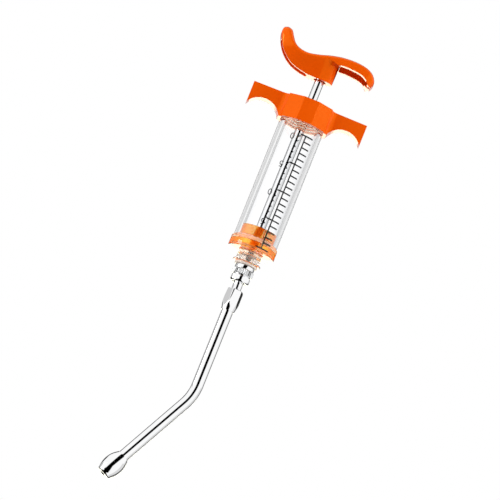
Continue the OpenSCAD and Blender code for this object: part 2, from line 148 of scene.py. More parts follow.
# Connector, collar and nozzle
washer_round = 0.5
connector_round = 0.3
stud_r = 3.4
dose_bore_r = 1.2
shoulder_h = 2.2
journal_r = 3.3
journal_len = 3.3
clip_bore_r = 2.9
clip_t = 0.7
taper_r = 2.1
taper_tip_r = 1.92
collar_af = 10.4
collar_corner_r = 0.5356 * collar_af
collar_crease = 15
collar_round = 0.1
collar_chamfer = 0.15
knurl_h = 3.2
knurl_count = 32
knurl_depth = 0.4
knurl_sides = 12
knurl_curve = 1.5
collar_web_t = 1.8
collar_bore_r = 3.35
chamber_r = 4.1
hub_neck_r = 2.6
hub_flats = 8.1
hub_h = 12.3
hub_turn = 14
hub_cone_h = 5.17
hub_cone_steps = 28
hub_corner_r = hub_flats / 2 / cos(pi / 6) + 0.05
hub_end_step = 0.1
hub_crease = 24
hub_round = 0.12
hub_fillet = 0.3
socket_round = 0.05
taper_play = 0.05
lug_r = 3.9
lug_t = 1.5
tube_r = 3.2
tube_bore_r = 2.2
tube_set = hub_h / 2
tube_upper_len = 50.0
tube_lower_len = 50.0
bend_angle = 27
bend_r = 27.0
bend_steps = 28
bulb_len = 14.5
bulb_r = 5.65
bulb_start_r = 3.45
bulb_shoulder = 0.3
bulb_end_round = 1.2
bulb_peak = 7.4
bulb_set = bulb_len / 2
bulb_arc_steps = 36
bulb_turn_steps = 6
bulb_top_step = 0.1
outlet_r = 2.0
outlet_round = 0.2
shoulder_low = washer_low - shoulder_h
journal_low = shoulder_low - journal_len
web_low = collar_top - collar_web_t
knurl_low = collar_top - knurl_h
clip_top = web_low - rest_gap
hub_top = hub_low + hub_h
bend_z = hub_low - tube_upper_len


# Materials: where the drift over a surface starts and ends, its detail, the detail and depth of the fine
# bump, and the rate that is built into a wave texture
drift_range = (0.35, 0.65)
drift_detail = 3
fine_detail = 2
relief_depth = 0.02
wave_rate = 20


def ramp(tree, stops):
    """Colour ramp with the given places and colours or grey levels."""
    node = tree.nodes.new("ShaderNodeValToRGB")
    elements = node.color_ramp.elements
    for place, _ in stops[2:]:
        elements.new(place)
    for element, (place, colour) in zip(elements, stops):
        element.position = place
        level = colour if isinstance(colour, tuple) else (colour, colour, colour)
        element.color = (*level, 1)
    return node


def finish(name, colours, rough, grain, bump, sockets):
    """Finish in which two close colours and a range of roughness drift over a surface with a fine bump.

    grain gives the scale of the drift and of the bump, and sockets the values that stay the same.
    """
    material = bpy.data.materials.new(name)
    material.use_nodes = True
    tree = material.node_tree
    link = tree.links.new
    shader = tree.nodes["Principled BSDF"]
    place = tree.nodes.new("ShaderNodeTexCoord")
    drift = tree.nodes.new("ShaderNodeTexNoise")
    drift.inputs["Scale"].default_value = grain[0]
    drift.inputs["Detail"].default_value = drift_detail
    link(place.outputs["Object"], drift.inputs["Vector"])
    tint = ramp(tree, list(zip(drift_range, colours)))
    link(drift.outputs["Fac"], tint.inputs["Fac"])
    link(tint.outputs["Color"], shader.inputs["Base Color"])
    gloss = tree.nodes.new("ShaderNodeMapRange")
    gloss.inputs["To Min"].default_value = rough[0]
    gloss.inputs["To Max"].default_value = rough[1]
    link(drift.outputs["Fac"], gloss.inputs["Value"])
    link(gloss.outputs["Result"], shader.inputs["Roughness"])
    fine = tree.nodes.new("ShaderNodeTexNoise")
    fine.inputs["Scale"].default_value = grain[1]
    fine.inputs["Detail"].default_value = fine_detail
    link(place.outputs["Object"], fine.inputs["Vector"])
    relief = tree.nodes.new("ShaderNodeBump")
    relief.inputs["Strength"].default_value = bump
    relief.inputs["Distance"].default_value = relief_depth * MM
    link(fine.outputs["Fac"], relief.inputs["Height"])
    link(relief.outputs["Normal"], shader.inputs["Normal"])
    for socket, value in sockets.items():
        shader.inputs[socket].default_value = value
    return material


def banded(material, period, line, between):
    """Paints level bands into a finish's colour: painted reflections that stand in for the turns of a
    thread seen through clear plastic.
    """
    tree = material.node_tree
    bands = tree.nodes.new("ShaderNodeTexWave")
    bands.bands_direction = "Z"
    bands.inputs["Scale"].default_value = 2 * pi / (wave_rate * period * MM)
    bands.inputs["Distortion"].default_value = 0
    tree.links.new(tree.nodes["Texture Coordinate"].outputs["Object"], bands.inputs["Vector"])
    lines = ramp(tree, [line, between])
    tree.links.new(bands.outputs["Fac"], lines.inputs["Fac"])
    tree.links.new(lines.outputs["Color"], tree.nodes["Principled BSDF"].inputs["Base Color"])


orange_plastic = finish(
    "orange_plastic", [(0.89, 0.099, 0.001), (0.92, 0.107, 0.002)], (0.08, 0.14), (60, 900), 0.12,
    {"IOR": 1.6, "Specular Tint": (1.0, 0.5, 0.03, 1.0)})
piston_plastic = finish(
    "piston_plastic", [(0.96, 0.11, 0.003), (1.0, 0.125, 0.004)], (0.12, 0.20), (70, 900), 0.10,
    {"IOR": 3.1, "Specular Tint": (0.88, 1.0, 0.13, 1.0)})
chrome = finish(
    "chrome", [(0.94, 0.945, 0.95), (0.97, 0.97, 0.975)], (0.02, 0.05), (80, 1500), 0.03,
    {"Metallic": 1.0})
# The rod's near-black edge tint darkens its reflection towards the edges: painted shade along its
# outlines.
rod_chrome = finish(
    "rod_chrome", [(0.92, 0.925, 0.93), (0.96, 0.96, 0.965)], (0.02, 0.05), (80, 1500), 0.03,
    {"Metallic": 1.0, "Specular Tint": (0.05, 0.05, 0.05, 1.0)})
satin_chrome = finish(
    "satin_chrome", [(0.80, 0.805, 0.81), (0.86, 0.865, 0.87)], (0.16, 0.24), (80, 1500), 0.05,
    {"Metallic": 1.0})
clear_plastic = finish(
    "clear_plastic", [(0.985, 0.99, 1.0), (1.0, 1.0, 1.0)], (0.0, 0.02), (40, 500), 0.02,
    {"Transmission Weight": 1.0, "IOR": 1.5})
# Pale finish for the bore inside the cap, painted lighter than clear plastic, with painted bands: orange
# lines for the cap seen through the thread and pale bands for the light the thread reflects.
thread_painted_reflections = finish(
    "thread_painted_reflections", [(1.0, 0.84, 0.74), (1.0, 0.90, 0.82)], (0.3, 0.45), (40, 500), 0.05,
    {"Transmission Weight": 0.1, "IOR": 1.3})
banded(thread_painted_reflections, painted_band_period, (0.1, (0.96, 0.36, 0.15)), (0.5, (1.0, 0.93, 0.80)))
# The foot and the neck are clear plastic: their cream and peach tints are painted, and stand in for the
# orange piston seen through them.
foot_painted_refraction = finish(
    "foot_painted_refraction", [(1.0, 0.84, 0.56), (1.0, 0.88, 0.62)], (0.0, 0.02), (40, 500), 0.02,
    {"Transmission Weight": 1.0, "IOR": 1.5, "Specular IOR Level": 0.3})
neck_painted_refraction = finish(
    "neck_painted_refraction", [(1.0, 0.90, 0.82), (1.0, 0.94, 0.88)], (0.07, 0.12), (40, 500), 0.02,
    {"Transmission Weight": 0.9, "IOR": 1.45})
silicone = finish(
    "silicone", [(0.95, 0.46, 0.33), (0.98, 0.52, 0.38)], (0.35, 0.5), (120, 1200), 0.2,
    {"IOR": 1.41, "Subsurface Weight": 0.2, "Subsurface Scale": 1.0 * MM})
amber_washer = finish(
    "amber_washer", [(0.97, 0.80, 0.70), (1.0, 0.88, 0.78)], (0.2, 0.35), (150, 1200), 0.15,
    {"IOR": 1.45, "Transmission Weight": 0.2})
brass = finish(
    "brass", [(0.80, 0.58, 0.26), (0.86, 0.64, 0.32)], (0.18, 0.3), (150, 1800), 0.1,
    {"Metallic": 1.0})
steel = finish(
    "steel", [(0.55, 0.56, 0.58), (0.64, 0.65, 0.67)], (0.2, 0.32), (150, 1800), 0.1,
    {"Metallic": 1.0})
ink = finish(
    "scale_ink", [(0.006, 0.006, 0.007), (0.012, 0.012, 0.013)], (0.4, 0.55), (200, 2500), 0.1,
    {"IOR": 1.4})


# Meshes: the gap within which two points become one, in a copied node and in a cut one, how upright the
# normal of a level face is, how much of a side the rounding of its corner may take, and the angle from
# which an edge is sharp
copy_gap = 0.001
clean_gap = 0.002
level_normal = 0.98
corner_share = 0.45
plain_crease = 32


def skin(rings, closed):
    """Points and faces through rings of equally many points, joined in a loop or closed by flat ends."""
    count = len(rings[0])
    points = [point for ring in rings for point in ring]
    last = len(rings) if closed else len(rings) - 1
    faces = []
    for i in range(last):
        here = i * count
        there = (i + 1) % len(rings) * count
        for k in range(count):
            nxt = (k + 1) % count
            faces.append((here + k, here + nxt, there + nxt, there + k))
    if not closed:
        faces.append(tuple(range(count)))
        faces.append(tuple(range(len(points) - count, len(points))))
    return points, faces


def mesh_of(name, shells):
    """Mesh in metres from (points, faces) shells in millimetres, with its faces turned outwards."""
    mesh = bpy.data.meshes.new(name)
    points = []
    faces = []
    for shell_points, shell_faces in shells:
        start = len(points)
        points += [Vector(point) * MM for point in shell_points]
        faces += [tuple(start + k for k in face) for face in shell_faces]
    mesh.from_pydata(points, [], faces)
    work = bmesh.new()
    work.from_mesh(mesh)
    bmesh.ops.recalc_face_normals(work, faces=work.faces)
    work.to_mesh(mesh)
    work.free()
    return mesh


def piece(name, mesh, material, body, node=None, crease=plain_crease):
    """Object that rides on a body, takes a material slot's finish and stands for a CAD node."""
    mesh.shade_smooth()
    if crease:
        mesh.set_sharp_from_angle(angle=radians(crease))
    mesh.materials.clear()
    mesh.materials.append(material)
    made = bpy.data.objects.new(name, mesh)
    bpy.context.collection.objects.link(made)
    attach(made, body)
    if node:
        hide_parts(node)
    return made


def solid(name, shell, material, body, node, crease=plain_crease):
    """Piece of one closed shell."""
    return piece(name, mesh_of(name, [shell]), material, body, node, crease)


def rounded(outline, radius, steps=4):
    """Open outline with each inner corner turned into a curve that meets both its sides."""
    out = [outline[0]]
    for before, corner, after in zip(outline, outline[1:], outline[2:]):
        c = Vector(corner)
        back = Vector(before) - c
        on = Vector(after) - c
        reach = min(radius, corner_share * back.length, corner_share * on.length)
        start = c + back.normalized() * reach
        end = c + on.normalized() * reach
        for k in range(steps + 1):
            t = k / steps
            out.append(tuple(start * (1 - t) ** 2 + c * 2 * t * (1 - t) + end * t ** 2))
    out.append(outline[-1])
    return out


def turned(rows, sides, closed):
    """Solid turned from rows of a radius and a level; a radius can be a rule on the angle."""
    rings = []
    for radius, level in rows:
        ring = []
        for k in range(sides):
            angle = 2 * pi * k / sides
            r = radius(angle) if callable(radius) else radius
            ring.append((r * cos(angle), r * sin(angle), level))
        rings.append(ring)
    return skin(rings, closed)


def six_sided(flats, turn, most, blend=150):
    """Radius of a six-sided bar at an angle, with its corners turned down to a largest radius."""

    def radius(angle):
        off = (angle - turn) % (pi / 3) - pi / 6
        flat = flats / 2 / cos(off)
        return (flat ** -blend + most ** -blend) ** (-1 / blend)
    return radius


def merged_copy(node):
    """Copy of a CAD node's mesh with its points merged."""
    work = bmesh.new()
    work.from_mesh(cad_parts[node].data)
    bmesh.ops.remove_doubles(work, verts=work.verts, dist=copy_gap * MM)
    bmesh.ops.recalc_face_normals(work, faces=work.faces)
    mesh = bpy.data.meshes.new(node + "_rounded")
    work.to_mesh(mesh)
    work.free()
    return mesh


# Handle: rows from the horn's tip to the end of the boss and along the arm, as shares of the handle's
# length, height and half width: top x, top z, low x, low z, half width at the top and at the low edge,
# how far the arm's rim stands out over the boss and how far the low edge is rounded
body_shares = [
    [-0.453, 0.995, -0.475, 0.995, 0.22, 0.16, 0, 1],
    [-0.414, 0.935, -0.505, 0.935, 0.52, 0.36, 0, 1],
    [-0.384, 0.806, -0.510, 0.790, 0.66, 0.46, 0, 0.9],
    [-0.338, 0.640, -0.478, 0.569, 0.78, 0.49, 0, 0.35],
    [-0.276, 0.552, -0.414, 0.334, 0.87, 0.49, 0, 0],
    [-0.195, 0.530, -0.312, 0.126, 0.93, 0.48, 0, 0],
    [-0.097, 0.586, -0.168, 0.019, 0.96, 0.475, 0, 0],
    [0.000, 0.669, -0.018, 0.000, 0.98, 0.475, 0.1, 0],
    [0.064, 0.711, 0.064, 0.000, 0.99, 0.45, 0.6, 0],
    [0.104, 0.732, 0.104, 0.000, 1.00, 0.32, 0.95, 0],
    [0.121, 0.739, 0.121, 0.000, 1.00, 0.14, 1, 0]]
arm_shares = [
    [0.126, 0.741, 0.126, 0.465, 1.00, 0.40, 1, 0],
    [0.216, 0.759, 0.204, 0.479, 1.00, 0.40, 1, 0],
    [0.310, 0.748, 0.287, 0.450, 1.00, 0.40, 1, 0],
    [0.387, 0.705, 0.353, 0.375, 0.98, 0.40, 1, 0],
    [0.448, 0.615, 0.404, 0.300, 0.92, 0.37, 1, 0],
    [0.483, 0.490, 0.440, 0.262, 0.79, 0.32, 1, 0],
    [0.489, 0.385, 0.461, 0.262, 0.58, 0.24, 1, 0],
    [0.479, 0.315, 0.470, 0.283, 0.32, 0.14, 1, 0]]

# Where the handle's hollow starts and ends along the rows, how finely it is drawn, and the shares that
# shape a section
body_hollow_rows = (2.7, 6.2)
arm_hollow_rows = (0.06, 4.05)
row_steps = 12
end_steps = 5
end_rows = 0.12
crown_steps = 12
hollow_steps = 8
crown_square = 0.7
crown_limit_share = 0.45
hollow_square = 0.4
rim_least = 0.06
roof_least = 0.3
roof_crown_share = 0.75
neck_share = 0.7
lip_share = 0.25
low_limit_share = 0.6
low_steps = 6


def row_at(rows, s):
    """Row between two rows, on a curve that passes through every row."""
    i = min(int(floor(s)), len(rows) - 2)
    f = s - i
    near = [rows[min(max(i + k, 0), len(rows) - 1)] for k in (-1, 0, 1, 2)]
    row = []
    for p, q, r, t in zip(*near):
        slope = r - p
        bend = 2 * p - 5 * q + 4 * r - t
        twist = 3 * q - p - 3 * r + t
        row.append(q + slope * f / 2 + bend * f * f / 2 + twist * f ** 3 / 2)
    return row


def handle_section(row, depth):
    """Closed section of the handle across a row; depth goes from 0, solid, to 1, hollow below."""
    low = Vector((row[2] * handle_len, row[3] * handle_h))
    rise = Vector((row[0] * handle_len, row[1] * handle_h)) - low
    h = rise.length
    along = rise / h
    top_w = row[4] * handle_w / 2
    low_w = row[5] * handle_w / 2
    rim = row[6]
    crown = min(crown_h, crown_limit_share * h)
    rim_h = max(h - crown - max(rim * arm_side_h, edge), rim_least * h)
    neck_h = rim_h * (neck_share + (1 - neck_share) * rim)
    plain_w = low_w + (top_w - low_w) * neck_share
    neck_w = plain_w + (low_w + edge - plain_w) * rim
    arm = rim >= 1
    lip_w = max(top_w - arm_rim if arm else low_w - shell_wall, lip_share * low_w)
    roof_w = max(top_w - 2 * shell_wall, lip_share * top_w)
    roof_h = max(h - roof_crown_share * crown - shell_wall, roof_least * h)
    inner_low = rim_h if arm else 0
    corner = Vector((low_w, 0))
    side = Vector((neck_w, neck_h)) - corner
    rounding = low_round + horn_round * row[7]
    reach = min(rounding, low_limit_share * low_w, crown_limit_share * side.length)
    start = corner - Vector((reach, 0))
    end = corner + side.normalized() * reach
    side_walls = [tuple(start * (1 - t) ** 2 + corner * 2 * t * (1 - t) + end * t ** 2)
                  for t in (k / low_steps for k in range(low_steps + 1))]
    side_walls += [(neck_w, neck_h), (top_w, rim_h)]
    filled = [(lip_share * low_w, 0)] + side_walls
    hollow = [(lip_w, 0)] + side_walls
    if arm:
        last = len(side_walls)
        hollow = [(lip_w + (top_w - lip_w) * k / last, inner_low + (rim_h - inner_low) * k / last)
                  for k in range(last + 1)]
    half = [tuple(p + (q - p) * depth for p, q in zip(a, b)) for a, b in zip(filled, hollow)]
    for k in range(crown_steps + 1):
        a = pi / 2 * k / crown_steps
        half.append((top_w * max(cos(a), 0) ** crown_square, h - crown + crown * sin(a) ** crown_square))
    inner = []
    for k in range(hollow_steps, 0, -1):
        a = pi / 2 * k / (hollow_steps + 1)
        up = sin(a) ** hollow_square
        w = (lip_w + (roof_w - lip_w) * up) * cos(a) ** hollow_square
        flat = lip_share * low_w * cos(a)
        inner.append((flat + (w - flat) * depth, (inner_low + (roof_h - inner_low) * up) * depth))
    loop = half[:-1]
    loop += [(0, h)]
    loop += [(-w, z) for w, z in reversed(half[:-1])]
    loop += [(-w, z) for w, z in reversed(inner)]
    loop += [(0, roof_h * depth)]
    loop += inner
    return [(low.x + along.x * z, w, boss_low + low.y + along.y * z) for w, z in loop]


def hollow_stations(rows, stretch):
    """Places along the rows with the hollow's depth, close together where the hollow starts and ends."""
    start, end = stretch
    places = []
    for k in range((len(rows) - 1) * row_steps + 1):
        s = k / row_steps
        inside = start + end_rows < s < end - end_rows
        outside = s < start or s > end
        if inside or outside:
            places.append((s, 1 if inside else 0))
    for k in range(end_steps + 1):
        t = k / end_steps
        ease = t * t * (3 - 2 * t)
        places.append((start + end_rows * t, ease))
        places.append((end - end_rows * t, ease))
    return sorted(places)


def combine(obj, tool_mesh, operation):
    """Cuts a closed mesh out of an object's own mesh or joins it on."""
    cutter = bpy.data.objects.new("cutter", tool_mesh)
    bpy.context.collection.objects.link(cutter)
    cut = obj.modifiers.new("cut", "BOOLEAN")
    cut.operation = operation
    cut.solver = "EXACT"
    cut.object = cutter
    bpy.context.view_layer.update()
    done = bpy.data.meshes.new_from_object(obj.evaluated_get(bpy.context.evaluated_depsgraph_get()))
    obj.modifiers.clear()
    obj.data = done
    bpy.data.objects.remove(cutter)


def cleaned(obj, crease):
    """Merges an object's doubled points, marks its sharp edges and keeps its level faces flat."""
    work = bmesh.new()
    work.from_mesh(obj.data)
    bmesh.ops.remove_doubles(work, verts=work.verts, dist=clean_gap * MM)
    bmesh.ops.dissolve_degenerate(work, edges=work.edges, dist=clean_gap * MM)
    bmesh.ops.triangulate(work, faces=work.faces)
    work.to_mesh(obj.data)
    work.free()
    obj.data.shade_smooth()
    obj.data.set_sharp_from_angle(angle=radians(crease))
    for face in obj.data.polygons:
        face.use_smooth = abs(face.normal.z) < level_normal


def round_edges(obj, width, segments, limit):
    """Rounds every edge that is sharper than a limit."""
    bevel = obj.modifiers.new("rounded_edges", "BEVEL")
    bevel.width = width * MM
    bevel.segments = segments
    bevel.limit_method = "ANGLE"
    bevel.angle_limit = radians(limit)
    shading = obj.modifiers.new("even_shading", "WEIGHTED_NORMAL")
    shading.weight = 100
    shading.keep_sharp = True


def push_handle():
    """Handle lofted over horn, boss and arm, with the insert's hole cut in."""
    sections = []
    for rows, stretch in ((body_shares, body_hollow_rows), (arm_shares, arm_hollow_rows)):
        for s, depth in hollow_stations(rows, stretch):
            sections.append(handle_section(row_at(rows, s), depth))
    made = solid("palm_handle", skin(sections, False), orange_plastic,
                 "plunger", "push_handle", crease=0)
    hole = turned([(insert_r, boss_low - cut_over), (insert_r, insert_top)], hole_sides, False)
    combine(made, mesh_of("insert_hole", [hole]), "DIFFERENCE")
    round_edges(made, edge, edge_segments, edge_limit)


def plunger_rod():
    """Rod with a thinner end that holds the piston."""
    rows = [(rod_end_r, rod_low), (shank_r, rod_low), (shank_r, rod_foot), (rod_r, rod_foot),
            (rod_r, rod_top), (rod_end_r, rod_top)]
    rod = turned(rounded(rows, rod_round), fitting_sides, False)
    solid("plunger_shaft", rod, rod_chrome, "plunger", "plunger_rod")


def finger_grip_cap():
    """Cap in its CAD form, with the faces of its hub made anew."""
    made = piece("wing_cap", merged_copy("finger_grip_cap"), orange_plastic,
                 "barrel_unit", "finger_grip_cap", crease=0)
    front = -span("finger_grip_cap", 1)[0]
    inner_r = (barrel_r + front) / 2
    bearing = atan2(facet_end[0], facet_end[1])
    steps = 10
    room_share = 0.96
    room_r = 1.2 * front
    around_front = [bearing - 2 * bearing * k / steps for k in range(steps + 1)]
    around_room = [room_share * a for a in around_front]
    within = [(inner_r * sin(a), inner_r * cos(a)) for a in around_front]
    plan = [(-facet_end[0], facet_end[1]), (-facet_half, front), (facet_half, front), facet_end] + within
    room = [((inner_r + edge) * sin(a), (inner_r + edge) * cos(a)) for a in around_room]
    room += [(room_r * sin(a), room_r * cos(a)) for a in reversed(around_room)]
    for way in (-1, 1):
        levels = (cap_low - cut_over, cap_top + cut_over)
        rings = [[(x, way * y, level) for x, y in room] for level in levels]
        combine(made, mesh_of("hub_room", [skin(rings, False)]), "DIFFERENCE")
    for way in (-1, 1):
        rings = [[(x, way * y, level) for x, y in plan] for level in (cap_low, cap_top)]
        combine(made, mesh_of("hub_faces", [skin(rings, False)]), "UNION")
    cleaned(made, cap_crease)


def barrel():
    """Barrel with thread, foot and six-sided neck, each in its own finish, with painted bands and tints.
    """
    floor_low = stud_top + rest_gap
    foot_top = foot_low + foot_h
    thread_top = barrel_top - 2 * edge
    thread_low = cap_low + thread_low_gap
    painted_band_low = cap_low - painted_band_gap
    middle_r = (bore_r + barrel_r) / 2
    hold = 1.2
    turns = 10
    rows = rounded([(floor_hole_r, floor_low), (floor_hole_r, floor_top), (bore_r, floor_top),
                    (bore_r, floor_top + hold), (bore_r, painted_band_low - hold), (bore_r, painted_band_low),
                    (bore_r, barrel_top), (barrel_r, barrel_top), (barrel_r, thread_top)], mouth_round)
    steps = int(ceil((thread_top - thread_low) / thread_pitch * turns))
    for k in range(1, steps):
        level = thread_top - (thread_top - thread_low) * k / steps
        fade = min(k, steps - k, turns / 2) / (turns / 2)

        def thread(angle, level=level, fade=fade):
            wave = 0.5 - 0.5 * cos(2 * pi * level / thread_pitch - angle)
            return barrel_r - thread_depth * fade * wave
        rows.append((thread, level))
    rows += rounded([(barrel_r, thread_low), (barrel_r, thread_low - hold), (barrel_r, foot_top + hold),
                     (barrel_r, foot_top), (foot_r, foot_top),
                     (foot_r, foot_low), (neck_af / 2 + neck_flare, foot_low)], foot_round)
    bar = six_sided(neck_af, pi / 6, neck_corner_r, neck_corner_blend)
    collar_up = neck_low + neck_collar_t
    neck_root = [(0.5, 0.0), (0.15, 0.15), (0.0, 0.5)]
    for out, down in neck_root:
        rows.append((lambda a, out=out: bar(a) + out, foot_low - down))
    rows.append((bar, (foot_low + collar_up) / 2))
    rows.append((bar, collar_up + neck_step))
    rows += rounded([(neck_collar_r - neck_round, collar_up), (neck_collar_r, collar_up - neck_drop),
                     (neck_collar_r, neck_low), (stud_hole_r, neck_low), (stud_hole_r, floor_low)],
                    neck_round)
    made = solid("clear_barrel", turned(rows, barrel_sides, True), clear_plastic,
                 "barrel_unit", "barrel")
    # The bore inside the cap takes painted bands, and the foot and the neck take painted tints, that
    # stand in for light seen through clear plastic
    for material in (thread_painted_reflections, foot_painted_refraction, neck_painted_refraction):
        made.data.materials.append(material)
    for face in made.data.polygons:
        place = face.center / MM
        outside = hypot(place.x, place.y) > middle_r
        underside = abs(place.z - foot_low) < underside_gap
        if painted_band_low < place.z < thread_top and not outside:
            face.material_index = 1
        elif underside or (outside and place.z < foot_top):
            face.material_index = 2
        elif place.z < foot_low:
            face.material_index = 3


def piston():
    """Two halves of the piston and the ring between them."""
    spigot_hole_r = spigot_r + rest_gap
    spigot_roof = spigot_top + rest_gap
    head = [(shank_hole_r, spigot_roof), (spigot_hole_r, spigot_roof), (spigot_hole_r, seal_top),
            (piston_r, seal_top), (piston_r, piston_top), (shank_hole_r, piston_top)]
    head = turned(rounded(head, head_round), piston_sides, True)
    solid("piston_top_half", head, piston_plastic, "piston", "piston_head")
    middle = (plate_top + seal_top) / 2
    seal = [(spigot_hole_r, middle), (spigot_hole_r, plate_top), (seal_r, plate_top),
            (seal_r, seal_top), (spigot_hole_r, seal_top)]
    seal = turned(rounded(seal, seal_round), piston_sides, True)
    solid("piston_ring", seal, silicone, "piston", "piston_seal")
    plate_low = floor_top - seal_press
    plate = [(nut_recess_r, nut_recess_top), (nut_recess_r, plate_low), (seal_r, plate_low),
             (seal_r, plate_top), (spigot_r, plate_top), (spigot_r, spigot_top),
             (shank_hole_r, spigot_top), (shank_hole_r, nut_recess_top)]
    plate = turned(rounded(plate, plate_round), piston_sides, True)
    solid("piston_foot", plate, piston_plastic, "piston", "piston_plate")


def neck_washer():
    """Soft washer under the barrel's neck."""
    middle = (washer_low + washer_top) / 2
    rows = [(stud_hole_r, middle), (stud_hole_r, washer_low), (washer_r, washer_low),
            (washer_r, washer_top), (stud_hole_r, washer_top)]
    ring = turned(rounded(rows, washer_round), fitting_sides, True)
    solid("neck_ring", ring, amber_washer, "barrel_unit", "neck_washer")


def nozzle_connector():
    """Connector with stud, shoulder, clip groove and taper."""
    middle = (journal_low + stud_top) / 2
    clip_low = clip_top - clip_t
    rows = [(dose_bore_r, middle), (dose_bore_r, connector_low), (taper_tip_r, connector_low),
            (taper_r, journal_low), (journal_r, journal_low), (journal_r, clip_low),
            (clip_bore_r, clip_low), (clip_bore_r, clip_top), (journal_r, clip_top),
            (journal_r, shoulder_low), (shoulder_r, shoulder_low), (shoulder_r, washer_low),
            (stud_r, washer_low), (stud_r, stud_top), (dose_bore_r, stud_top)]
    connector = turned(rounded(rows, connector_round), fitting_sides, True)
    solid("stud_connector", connector, chrome, "barrel_unit", "nozzle_connector")


def lock_collar():
    """Collar, knurled above and six-sided below."""
    def grooved(most):
        def radius(angle):
            groove = abs(sin(knurl_count * angle / 2)) ** knurl_curve
            return min(knurl_r - knurl_depth * (1 - groove), most)
        return radius
    half_af = collar_af / 2
    rows = rounded([(collar_bore_r, (web_low + collar_top) / 2), (collar_bore_r, web_low),
                    (chamber_r, web_low), (chamber_r, collar_low),
                    (chamber_r + 2 * collar_chamfer, collar_low)], collar_round)
    cone = [(half_af - 0.55, 0.0), (half_af - 0.05, 0.4),
            (collar_corner_r - 0.15, 0.75), (collar_corner_r, 1.1)]
    for most, rise in cone:
        rows.append((six_sided(collar_af, pi / 6, most), collar_low + rise))
    for most, drop in reversed(cone):
        rows.append((six_sided(collar_af, pi / 6, most), knurl_low - drop))
    rim = [(knurl_r - 0.55, 0.0), (knurl_r - 0.25, 0.08), (knurl_r, 0.4)]
    for most, rise in rim:
        rows.append((grooved(most), knurl_low + rise))
    for most, drop in reversed(rim):
        rows.append((grooved(most), collar_top - drop))
    rows += [(collar_bore_r + collar_chamfer, collar_top), (collar_bore_r, collar_top - collar_chamfer)]
    collar = turned(rows, knurl_count * knurl_sides, True)
    made = solid("knurled_collar", collar, chrome, "collar", "lock_collar", collar_crease)
    made.data.materials.append(satin_chrome)
    for face in made.data.polygons:
        place = face.center / MM
        if place.z > knurl_low and hypot(place.x, place.y) > knurl_r - 2 * knurl_depth:
            face.material_index = 1


def nozzle_hub():
    """Six-sided hub under a neck, with a socket for the tube."""
    half_flats = hub_flats / 2
    end_r = tube_r + edge
    turn = radians(hub_turn)
    socket_top = hub_low + tube_set
    taper_low = connector_low - rest_gap
    rows = rounded([(dose_bore_r, (socket_top + taper_low) / 2), (dose_bore_r, socket_top),
                    (tube_r, socket_top), (tube_r, hub_low),
                    (end_r - hub_end_step, hub_low)], socket_round)
    for k in range(hub_cone_steps + 1):
        t = k / hub_cone_steps
        most = end_r + (hub_corner_r - end_r) * t
        level = hub_low + hub_end_step + (hub_cone_h - hub_end_step) * t
        rows.append((six_sided(hub_flats, turn, most), level))
    top_cone = [(hub_corner_r, 0.9), (hub_corner_r - 0.3, 0.3),
                (half_flats - 0.1, 0.08), (half_flats - 0.4, 0.0)]
    for most, drop in top_cone:
        rows.append((six_sided(hub_flats, turn, most), hub_top - drop))
    rows += rounded([(hub_neck_r + hub_fillet, hub_top), (hub_neck_r, hub_top + hub_fillet),
                     (hub_neck_r, lug_top - lug_t), (lug_r, lug_top - lug_t), (lug_r, lug_top),
                     (taper_r + taper_play, lug_top), (taper_tip_r + taper_play, taper_low),
                     (dose_bore_r, taper_low)], hub_round)
    hub = turned(rows, barrel_sides, True)
    solid("nozzle_socket", hub, chrome, "nozzle", "nozzle_hub", hub_crease)


def leg_frame():
    """Frame of the nozzle's lower leg: its start is the corner of the bend and it runs down."""
    return Matrix.Translation((0, 0, bend_z)) @ Matrix.Rotation(radians(bend_angle), 4, "Y")


def nozzle_tube():
    """Tube with one bend."""
    tangent = bend_r * tan(radians(bend_angle) / 2)
    top = hub_low + tube_set
    frames = [Matrix.Translation((0, 0, top))]
    for k in range(bend_steps + 1):
        a = radians(bend_angle) * k / bend_steps
        centre = Vector((-bend_r, 0, bend_z + tangent))
        place = centre + Vector((bend_r * cos(a), 0, -bend_r * sin(a)))
        frames.append(Matrix.Translation(place) @ Matrix.Rotation(a, 4, "Y"))
    frames.append(leg_frame() @ Matrix.Translation((0, 0, -tube_lower_len - bulb_set)))
    angles = [2 * pi * k / tube_sides for k in range(tube_sides)]
    rings = []
    for radius, path in ((tube_r, frames), (tube_bore_r, frames[::-1])):
        ring = [Vector((radius * cos(a), radius * sin(a), 0)) for a in angles]
        for frame_at in path:
            rings.append([frame_at @ point for point in ring])
    solid("bent_tube", skin(rings, True), chrome, "nozzle", "nozzle_tube")


